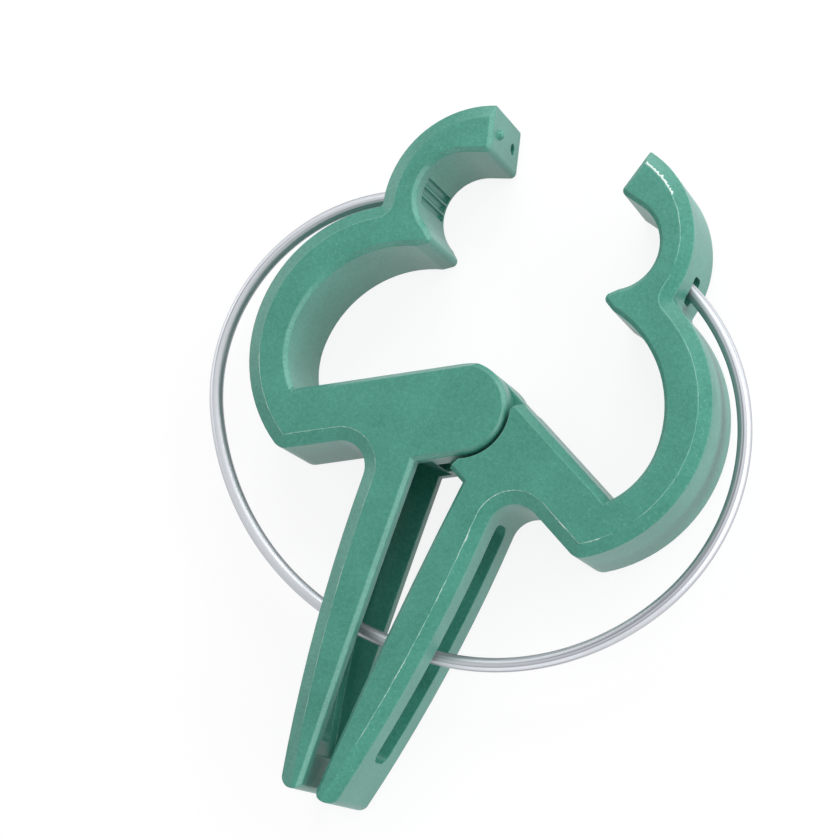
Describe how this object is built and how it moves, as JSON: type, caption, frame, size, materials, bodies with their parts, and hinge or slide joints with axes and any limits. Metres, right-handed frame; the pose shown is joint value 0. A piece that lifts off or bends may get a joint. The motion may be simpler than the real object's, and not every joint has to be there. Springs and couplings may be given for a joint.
{
  "type": "plant clip",
  "caption": "Spring-loaded orchid clip, held open: mirrored moulded jaws with a stem loop and a cane loop, an interleaved hinge, slotted handles and a wire ring spring.",
  "frame": {"origin": "on the hinge axis, at the back face on which the clip lies", "axes": "+Z along the hinge axis out of the front face, +Y from the hinge to the tips, halfway between the jaws as stored to within half a degree, -Y to the handles, +X to the right jaw"},
  "size_m": [0.0488, 0.0591, 0.008],
  "materials": {
    "jaw_plastic": "satin moulded polypropylene, green",
    "spring_wire": "bright drawn spring wire"
  },
  "bodies": {
    "left": {"left_jaw": "jaw_plastic", "spring_ring": "spring_wire"},
    "right": {"right_jaw": "jaw_plastic"}
  },
  "joints": [
    {"name": "jaw_hinge", "type": "hinge", "parent": "left", "child": "right", "pos_m": [0, 0, 0.004], "axis": [0, 0, 1], "range_deg": [-1.8, 31.1], "stiffness_Nm_per_rad": 0.15, "springref_deg": 46.98, "deforming": ["spring_ring"]}
  ]
}
